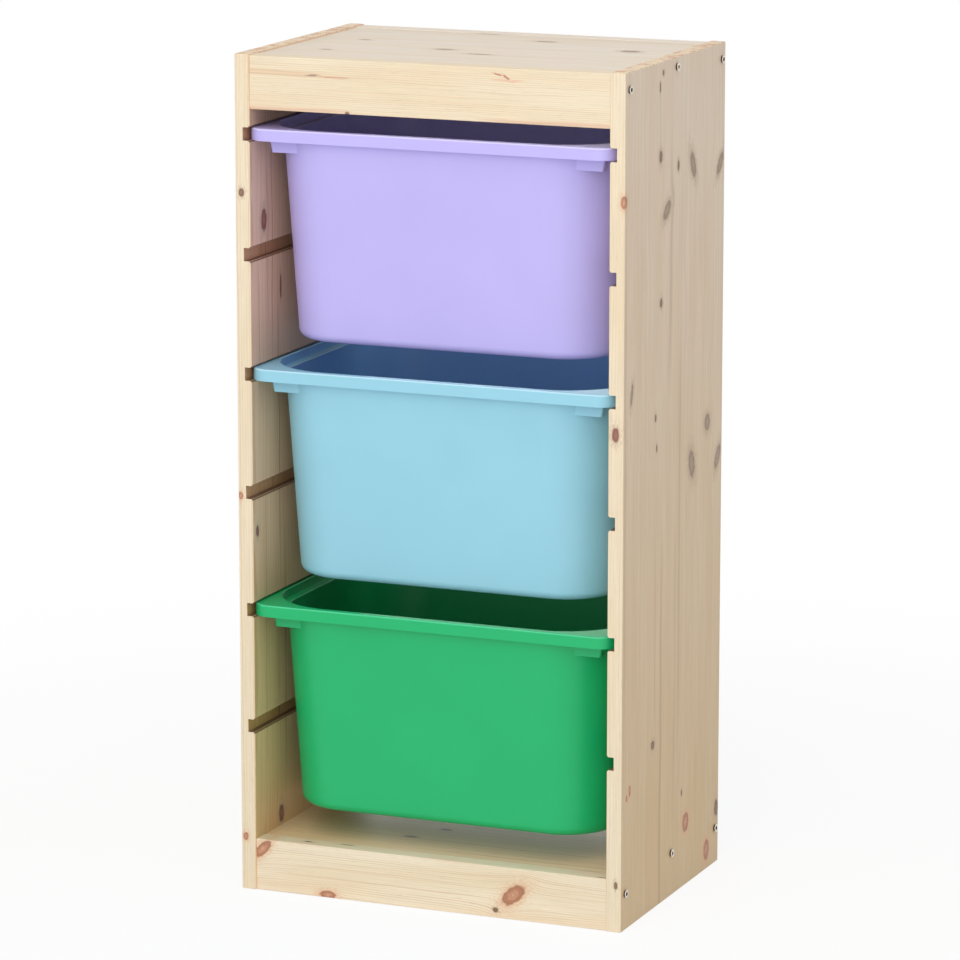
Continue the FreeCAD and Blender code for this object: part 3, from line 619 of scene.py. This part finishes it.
# %% Dress the side panels
FRONT = -150
right_knots = [
    face_knot(-40, 898, 5, 6, tone="dark"), face_knot(-49, 884, 4, 11, tone="dark"),
    face_knot(-46, 811, 9, 13, tone="dark"), face_knot(7, 795, 6, 11, tone="dark"),
    face_knot(52, 790, 14, 31, -25), face_knot(136, 780, 13, 29, 38),
    face_knot(-26, 752, 14, 26, 52), face_knot(-42, 656, 8, 10, tone="dark"),
    face_knot(-127, 573, 7, 23, 12), face_knot(-56, 536, 5, 8, tone="dark"),
    face_knot(-52, 503, 4, 8, tone="dark"), face_knot(103, 503, 17, 19),
    face_knot(55, 466, 18, 32, -15), face_knot(136, 459, 14, 29, 30),
    face_knot(-58, 182, 10, 10, tone="dark"), face_knot(-126, 149, 6, 12, tone="red"),
    face_knot(-135, 143, 5, 7, tone="red"), face_knot(32, 107, 4, 7, tone="dark"),
    face_knot(45, 71, 19, 22, tone="red"), face_knot(112, 22, 17, 24, tone="red"),
    face_knot(143, 62, 12, 19, tone="dark"),
    edge_knot(219, 777, 7, 13, FRONT), edge_knot(211, 534, 8, 15, FRONT, "wine"),
    edge_knot(214, 51, 4, 8, FRONT, "dark"),
]
right_lines = [
    dark_line(-34, -150, 460, 9, 0.4), dark_line(-12, 540, 870, 13, 0.3),
    dark_line(20, 100, 700, 12, 0.25), dark_line(-142, 60, 850, 9, 0.25),
    dark_line(-52, 180, 420, 4, 0.3), dark_line(8, 60, 420, 9, 0.18),
    dark_line(-46, 780, 900, 3, 0.35), dark_line(43, 380, 450, 3, 0.2),
]
left_knots = [
    face_knot(-116, 730, 14, 24, tone="wine"), face_knot(-75, 652, 4, 26, tone="wine"),
    face_knot(-139, 396, 7, 12, tone="wine"), face_knot(-84, 69, 13, 20, tone="wine"),
    edge_knot(-213, 763, 6, 9, FRONT, "dark"), edge_knot(-217, 436, 5, 8, FRONT),
    edge_knot(-215, 59, 6, 9, FRONT),
]
left_lines = [
    dark_line(-97, 540, 860, 4, 0.6, "#93695c"), dark_line(-82, 300, 700, 3.5, 0.6, "#85604f"),
    dark_line(-118, 100, 500, 4, 0.4, "#9a7852"), dark_line(-108, 580, 820, 9, 0.35, "#ab7f73"),
    dark_line(-70, 80, 420, 5, 0.5, "#8d6c40"), dark_line(-130, 520, 700, 3, 0.4, "#93695c"),
    dark_line(-88, 180, 300, 3, 0.5, "#85603a"),
]
LEFT_INNER_FACE = (-206, 6)
upright = dict(along="Z", across="Y", through="X", strip=76.0, strip_start=-149.0, foot=100, top=850,
               grooved=True)
# The panels' tints are partly the wood's tone and partly painted light and shade: darker and warmer at the
# right panel's foot, cooler at its top, and warmer on the left panel's shaded inner face.
dress("right_side_panel", pine("lacquered_pine_right_panel", seed=3, knots=right_knots,
                               lines=right_lines, tints_with_painted_light=("#eadfcd", "#faf7ff"), contrast=0.4,
                               **upright))
dress("left_side_panel", pine("lacquered_pine_left_panel", seed=11, knots=left_knots,
                              lines=left_lines, tints_with_painted_light=("#ffe2c6", "#fae8e8"),
                              tinted=LEFT_INNER_FACE, **upright))
print("knots", len(right_knots), "and", len(left_knots))

# %% [markdown]
# The boards lie with their grain from left to right. The top board is pale and pinkish with small knots,
# seen at a low angle. The bottom board got only a thin mist of lacquer, so it shines less.

# %% Dress the boards
THIN_MIST = 0.2
# The bottom board's warm tint is painted light: it takes the green out of the light that the green bin
# bounces onto the board.
PINKISH_WOOD, WARMTH_AGAINST_GREEN_LIGHT = "#efe3d4", "#ffeedc"
top_knots = [face_knot(across, along, width, length) for along, across, length, width in (
    (-44, 129, 26, 8), (-148, 29, 12, 6), (-35, -19, 20, 9), (38, 86, 22, 8), (15, -44, 26, 6),
    (153, 39, 20, 14), (-152, -66, 12, 5), (-151, -130, 10, 5))]
bottom_knots = [face_knot(-75, -53, 5, 16, tone="dark"), face_knot(-35, -28, 5, 14, tone="dark"),
                face_knot(-129, 176, 4, 18, tone="dark")]
bottom_lines = [
    dark_line(-128, -700, 700, 4, 0.8, "#8a6e4c"), dark_line(-113, -60, 260, 4, 0.5, "#a58559"),
    dark_line(-97, -20, 300, 3, 0.45, "#a58559"), dark_line(-78, -180, 200, 4, 0.35, "#a58559"),
]
lying = dict(along="X", across="Y", through="Z", strip=64.0, strip_start=-120.0, foot=-200, top=200)
dress("top_board", pine("lacquered_pine_top_board", seed=21, knots=top_knots,
                        contrast=0.3, early=PINKISH_WOOD, **lying))
dress("bottom_board", pine("lacquered_pine_bottom_board", seed=27, knots=bottom_knots,
                           lines=bottom_lines, contrast=1.2, tints_with_painted_light=(WARMTH_AGAINST_GREEN_LIGHT, WARMTH_AGAINST_GREEN_LIGHT),
                           lacquer=THIN_MIST, **lying))
print("board knots", len(top_knots), "and", len(bottom_knots))

# %% [markdown]
# The rails stand on edge and take the light full on, so their grain shows best. A rail is sawn from one
# piece, so its one strip is wider than the rail, and where that strip starts decides how far away the core
# of the tree lies.

# %% Dress the rails
UNDER_THE_RAIL_TOP = 57
top_rail_knots = [
    face_knot(891, -131, 1.6, 11, 3), face_knot(902, 79, 1.6, 9, -12, "red"),
    face_knot(899.5, 88, 2, 8, -35, "red"), face_knot(853, -91, 3, 5, 0, "dark"),
]
top_rail_lines = [
    dark_line(892, -280, -90, 7, 0.5, "#e3bd97"), dark_line(894, -330, -110, 2, 0.5, "#c9a277"),
    dark_line(890, -330, -40, 2, 0.55, "#c9a277"), dark_line(889.5, -124, -84, 2.6, 0.9, "#d69c80"),
    dark_line(897, 66, 112, 4, 0.7, "#e6b498"), dark_line(888, -60, 60, 2, 0.35, "#c9a277"),
    dark_line(853.5, -260, -60, 7, 0.45, "#dba183"), dark_line(854, 40, 260, 7, 0.5, "#dba183"),
    dark_line(883, -60, 200, 2, 0.3, "#d0ab80"), dark_line(876, -200, 180, 2, 0.25, "#d3b080"),
]
bottom_rail_knots = [
    face_knot(27, 97, 16, 31, 39, "red"), face_knot(8.6, 77, 5, 6, 0, "dark"),
    face_knot(46, -196, 11, 26, 45, "red"), face_knot(3, -119, 9, 19, 0, "red"),
    edge_knot(-138, -146, 3, 9, UNDER_THE_RAIL_TOP, "dark"),
    edge_knot(-134, -102, 2, 18, UNDER_THE_RAIL_TOP, "dark"),
    edge_knot(-146, 198, 2, 10, UNDER_THE_RAIL_TOP, "dark"),
]
bottom_rail_lines = [
    dark_line(33, -200, 60, 2, 0.3, "#cfa57c"), dark_line(21, -180, 90, 2.5, 0.4, "#cda277"),
    dark_line(14, -60, 200, 2, 0.35, "#cfa57c"), dark_line(43, -40, 260, 2, 0.25, "#cfa57c"),
    # The last band is painted light: it warms the rail's top strip against the green light that the green
    # bin bounces onto it.
    dark_line(58.5, -700, 700, 9, 0.7, "#f2c6a6"),
]
rails = {
    "top_front_rail": dict(seed=41, knots=top_rail_knots, lines=top_rail_lines),
    "top_rear_rail": dict(seed=45, contrast=0.3, early=PINKISH_WOOD),
    "bottom_front_rail": dict(seed=31, knots=bottom_rail_knots, lines=bottom_rail_lines, contrast=1.0,
                              early="#f7e9d2", ring_widths=(1.5, 2.2), strip_start=-1170.0,
                              lacquer=THIN_MIST),
    "bottom_rear_rail": dict(seed=35),
}
standing = dict(along="X", across="Z", through="Y", strip=2000.0, strip_start=-1000.0)
for node_name, own in rails.items():
    dress(node_name, pine("lacquered_pine_" + node_name, **{**standing, **own}))
print("rails dressed", len(rails))

# %% [markdown]
# ## Polypropylene
#
# The bins are injection-moulded polypropylene, a soft plastic that is coloured right through. The mould
# gives it a fine satin texture, and the tone drifts a little with the flow of the melt. The eased edges of
# the rim, the opening and the ledge inside get a paler colour: a painted highlight, thin bright lines
# where the roundings would catch the light. On those roundings the surface looks neither up nor sideways
# but in between, so the height of the normal finds them. Inside, light goes from wall to wall many times
# and takes on more colour each time. The renderer stops after a few turns, so the inside is written in a
# colour
# of its own: it is wherever the surface looks towards the middle of the opening.

# %% Moulded polypropylene
SATIN_GRAIN_MM, FLOW_MM = 1.2, 90
FLOW_SHADES = (0.98, 1.02)
POLYPROPYLENE_IOR, SATIN_ROUGHNESS = 1.49, (0.34, 0.42)
RIM_BAND_MM = 11
LEAVES_THE_SIDE, NEARS_THE_TOP = (0.2, 0.45), (0.85, 0.97)
INSIDE_FROM_TO_MM = (-10, -40)


def polypropylene(name, node_name, body_hex, highlight_hex, inside_hex):
    """Satin plastic with a painted highlight on the edges round one bin's opening, and its own colour
    inside.
    """
    material, tree, out = new_material(name)
    coordinates = add(tree, "TexCoord").outputs
    place = coordinates["Object"]
    grain = add(tree, "TexNoise", place, named={"Scale": 1 / (SATIN_GRAIN_MM * MM), "Detail": 2.0})
    bump = add(tree, "Bump", named={"Height": grain, "Strength": 0.12, "Distance": 0.05 * MM})
    flow = add(tree, "TexNoise", place, named={"Scale": 1 / (FLOW_MM * MM), "Detail": 1.0})
    tone = add(tree, "MapRange", flow, *NOISE_LEVELS, *FLOW_SHADES)

    # Painted highlight: the eased edges near the rim's top, found by the height of the normal.
    looks_up = add(tree, "SeparateXYZ", coordinates["Normal"]).outputs[2]
    above_side = add(tree, "MapRange", looks_up, *LEAVES_THE_SIDE, 0, 1)
    below_top = add(tree, "MapRange", looks_up, *NEARS_THE_TOP, 1, 0)
    edge = add(tree, "Math", above_side, below_top, operation="MULTIPLY")
    low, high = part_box(node_name)
    rim_top = high[2]
    height = add(tree, "SeparateXYZ", place).outputs[2]
    in_band = add(tree, "Math", height, rim_top - RIM_BAND_MM * MM, operation="GREATER_THAN")
    edge = add(tree, "Math", edge, in_band, operation="MULTIPLY")

    opening = ((low[0] + high[0]) / 2, (low[1] + high[1]) / 2, rim_top)
    outwards = add(tree, "VectorMath", add(tree, "VectorMath", place, opening, operation="SUBTRACT"),
                   coordinates["Normal"], operation="DOT_PRODUCT")
    inside = add(tree, "MapRange", outwards, *(mm * MM for mm in INSIDE_FROM_TO_MM), 0, 1)
    colour = add(tree, "Mix", inside, linear(body_hex), linear(inside_hex), data_type="RGBA")
    colour = shaded(tree, colour, tone)
    # The painted highlight on the eased edges.
    colour = add(tree, "Mix", edge, colour, linear(highlight_hex), data_type="RGBA")
    gloss = add(tree, "MapRange", grain, *NOISE_LEVELS, *SATIN_ROUGHNESS)
    plastic = add(tree, "BsdfPrincipled", named={
        "Base Color": colour, "Roughness": gloss, "IOR": POLYPROPYLENE_IOR, "Normal": bump})
    tree.links.new(plastic.outputs[0], out.inputs["Surface"])
    return material


# Each bin: its hue, its body colour, the painted highlight on its eased edges, and its inside colour,
# which stands in for the light that bounces inside.
BINS = {
    "upper_bin": ("violet", "#c2b8f5", "#ddd6ff", "#c6c0ff"),
    "middle_bin": ("light_blue", "#98d2e5", "#bfe6f4", "#8ec2ec"),
    "lower_bin": ("green", "#08b76d", "#4ccf93", "#08a562"),
}
for node_name, (hue, body_hex, highlight_hex, inside_hex) in BINS.items():
    dress(node_name, polypropylene(hue + "_polypropylene", node_name, body_hex, highlight_hex, inside_hex))

# %% [markdown]
# ## Zinc-plated screws
#
# The furniture screws are steel with bright zinc plate. Zinc is a pale metal with a soft gloss. The plate
# is never quite even: it has a faint cloudy bloom and fine marks from turning. The hexagon socket and the
# cone under the head are painted dark: painted shade in the socket, and on the cone painted shade with a
# painted reflection of the shaded wood beside it.
# Their faces could be picked out one by one, but the distance to the nearest screw's axis finds the
# sockets of all twelve screws at once.

# %% Bright zinc plate
ZINC, ZINC_BLOOM, CONE_PAINTED_SHADE, SOCKET_PAINTED_SHADE = "#e8e0d4", "#d2ccc2", "#6b5b4e", "#1d1a18"
BLOOM_MM, BLOOM_LEVELS = 2.5, (0.35, 0.7)
TURNING_MM = 0.25
ZINC_ROUGHNESS = (0.3, 0.42)
SCREW_Y, SCREW_Z = 138.5, (40, 892)
HEAD_EDGE_X, SOCKET_RADIUS = 221.7, 2.5

bright_zinc, tree, out = new_material("bright_zinc_plate")
place = add(tree, "TexCoord").outputs["Object"]
bloom = add(tree, "TexNoise", place, named={"Scale": 1 / (BLOOM_MM * MM), "Detail": 3.0})
zinc_and_painted_shade = add(tree, "Mix", add(tree, "MapRange", bloom, *BLOOM_LEVELS, 0, 1), linear(ZINC),
                  linear(ZINC_BLOOM), data_type="RGBA")
turning = add(tree, "TexNoise", place, named={"Scale": 1 / (TURNING_MM * MM), "Detail": 1.0})
bump = add(tree, "Bump", named={"Height": turning, "Strength": 0.15, "Distance": 0.02 * MM})
gloss = add(tree, "MapRange", bloom, *NOISE_LEVELS, *ZINC_ROUGHNESS)

millimetres = add(tree, "VectorMath", place, operation="SCALE", named={"Scale": 1 / MM})
x, y, z = add(tree, "SeparateXYZ", millimetres).outputs
from_middle = add(tree, "Math", y, operation="ABSOLUTE")
from_outer = add(tree, "Math", from_middle, SCREW_Y, operation="SUBTRACT")
off_y = add(tree, "Math", from_middle, add(tree, "Math", from_outer, operation="ABSOLUTE"),
            operation="MINIMUM")
from_low, from_high = (add(tree, "Math", add(tree, "Math", z, row, operation="SUBTRACT"),
                           operation="ABSOLUTE") for row in SCREW_Z)
off_z = add(tree, "Math", from_low, from_high, operation="MINIMUM")
off_axis = add(tree, "VectorMath", add(tree, "CombineXYZ", off_y, off_z, 0.0), operation="LENGTH")
# Painted shade in the sockets and on the cones under the heads, with a painted reflection of the wood on
# the cones.
socket = add(tree, "Math", off_axis, SOCKET_RADIUS, operation="LESS_THAN")
cone = add(tree, "Math", add(tree, "Math", x, operation="ABSOLUTE"), HEAD_EDGE_X, operation="LESS_THAN")
zinc_and_painted_shade = add(tree, "Mix", cone, zinc_and_painted_shade, linear(CONE_PAINTED_SHADE), data_type="RGBA")
zinc_and_painted_shade = add(tree, "Mix", socket, zinc_and_painted_shade, linear(SOCKET_PAINTED_SHADE), data_type="RGBA")
zinc = add(tree, "BsdfPrincipled", named={"Base Color": zinc_and_painted_shade, "Metallic": 1.0,
                                          "Roughness": gloss, "Normal": bump})
tree.links.new(zinc.outputs[0], out.inputs["Surface"])
screws = [node_name for node_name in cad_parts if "_screw_" in node_name]
for node_name in screws:
    dress(node_name, bright_zinc)
print("screws", len(screws))

# %% [markdown]
# ## Beech dowels
#
# The dowels are turned beech. Beech is a warm plain brown with short darker flecks along the grain. They
# are hidden in the wood and show only when the model is taken apart, so a single noise is enough.

# %% Turned beech
BEECH, BEECH_FLECKS = "#d8b58a", "#a87c54"
FLECK_LENGTH_MM, FLECK_WIDTH_MM = 4, 0.7
FLECK_LEVELS, FLECK_STRENGTH = (0.55, 0.7), 0.6
BEECH_ROUGHNESS = 0.6

beech, tree, out = new_material("turned_beech")
place = add(tree, "TexCoord").outputs["Object"]
flecks = add(tree, "VectorMath", place,
             tuple(1 / (size * MM) for size in (FLECK_LENGTH_MM, FLECK_WIDTH_MM, FLECK_WIDTH_MM)),
             operation="MULTIPLY")
flecks = add(tree, "TexNoise", flecks, named={"Scale": 1.0, "Detail": 2.0})
beech_colour = add(tree, "Mix", add(tree, "MapRange", flecks, *FLECK_LEVELS, 0, FLECK_STRENGTH),
                   linear(BEECH), linear(BEECH_FLECKS), data_type="RGBA")
bump = add(tree, "Bump", named={"Height": flecks, "Strength": 0.3, "Distance": 0.05 * MM})
dowel_wood = add(tree, "BsdfPrincipled", named={"Base Color": beech_colour,
                                                "Roughness": BEECH_ROUGHNESS, "Normal": bump})
tree.links.new(dowel_wood.outputs[0], out.inputs["Surface"])
dowels = [node_name for node_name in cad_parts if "_dowel_" in node_name]
for node_name in dowels:
    dress(node_name, beech)
print("dowels", len(dowels))
